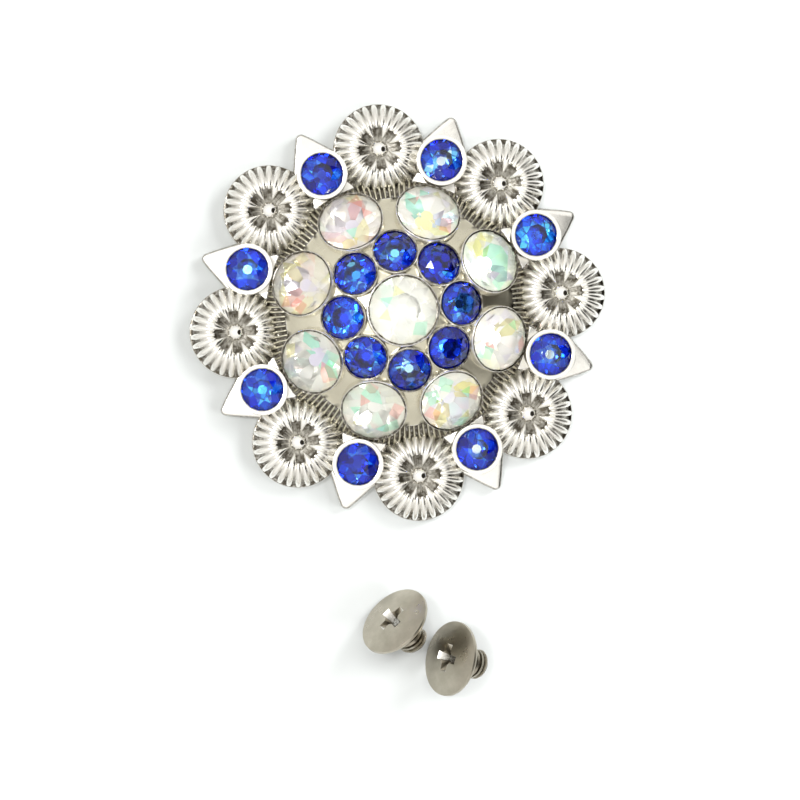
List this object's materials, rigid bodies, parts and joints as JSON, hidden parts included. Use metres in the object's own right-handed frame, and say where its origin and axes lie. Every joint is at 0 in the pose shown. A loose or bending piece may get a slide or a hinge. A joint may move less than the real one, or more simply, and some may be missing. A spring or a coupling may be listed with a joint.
{
  "type": "concho with back screws",
  "caption": "Round domed screw-back ornament with ribbed lobes, pointed tabs, blue and pale cut stones in cups, and its two screws lying beside it.",
  "frame": {"origin": "middle of the back, on the plane that the concho lies on, half-way between the two tapped posts", "axes": "+Z out of the face, +X through a berry lobe and along the two posts, +Y away from the screws that lie beside it"},
  "size_m": [0.04, 0.0566, 0.0074],
  "materials": {
    "plated_casting": "bright nickel plate over white-metal casting, satin on the dome",
    "pale_crystal": "clear cut glass with a rainbow coating, foiled back",
    "blue_crystal": "sapphire blue cut glass, foiled back",
    "nickel_screw": "satin nickel-plated steel"
  },
  "bodies": {
    "root": {"cast_body": "plated_casting", "centre_crystal": "pale_crystal", "ring_crystal_1": "pale_crystal", "ring_crystal_2": "pale_crystal", "ring_crystal_3": "pale_crystal", "ring_crystal_4": "pale_crystal", "ring_crystal_5": "pale_crystal", "ring_crystal_6": "pale_crystal", "ring_crystal_7": "pale_crystal", "ring_crystal_8": "pale_crystal", "inner_stone_1": "blue_crystal", "inner_stone_2": "blue_crystal", "inner_stone_3": "blue_crystal", "inner_stone_4": "blue_crystal", "inner_stone_5": "blue_crystal", "inner_stone_6": "blue_crystal", "inner_stone_7": "blue_crystal", "inner_stone_8": "blue_crystal", "outer_stone_1": "blue_crystal", "outer_stone_2": "blue_crystal", "outer_stone_3": "blue_crystal", "outer_stone_4": "blue_crystal", "outer_stone_5": "blue_crystal", "outer_stone_6": "blue_crystal", "outer_stone_7": "blue_crystal", "outer_stone_8": "blue_crystal", "screw_1": "nickel_screw", "screw_2": "nickel_screw"}
  },
  "joints": []
}
